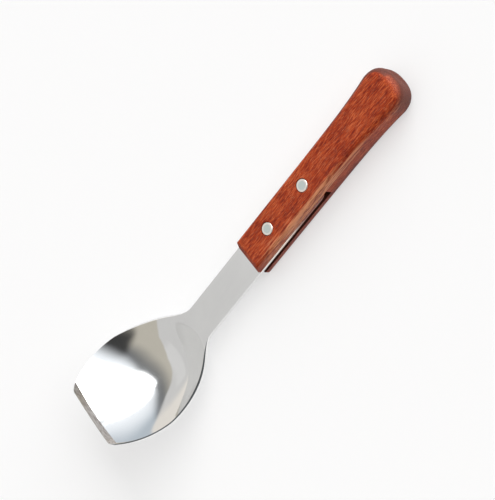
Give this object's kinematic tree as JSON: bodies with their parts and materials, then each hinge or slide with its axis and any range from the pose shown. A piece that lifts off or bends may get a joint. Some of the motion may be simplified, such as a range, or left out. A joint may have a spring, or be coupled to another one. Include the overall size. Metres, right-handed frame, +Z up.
{
  "type": "ice cream spade",
  "caption": "Flat-necked spade with a dished, square-cut stainless blade and a slotted wooden handle riveted over its tang.",
  "frame": {"origin": "centre of the bounding box at its base, on the surface that the tool lies on", "axes": "+X along the tool towards the handle's butt, +Y across it, +Z up, out of the dish side"},
  "size_m": [0.235, 0.059, 0.0361],
  "materials": {
    "blade_steel": "satin polished stainless sheet, ground front edge",
    "handle_wood": "reddish brown hardwood, clear satin varnish",
    "rivet_metal": "satin, heads ground flush with the wood"
  },
  "bodies": {
    "root": {"blade": "blade_steel", "handle": "handle_wood", "front_rivet_male": "rivet_metal", "front_rivet_female": "rivet_metal", "rear_rivet_male": "rivet_metal", "rear_rivet_female": "rivet_metal"}
  },
  "joints": []
}
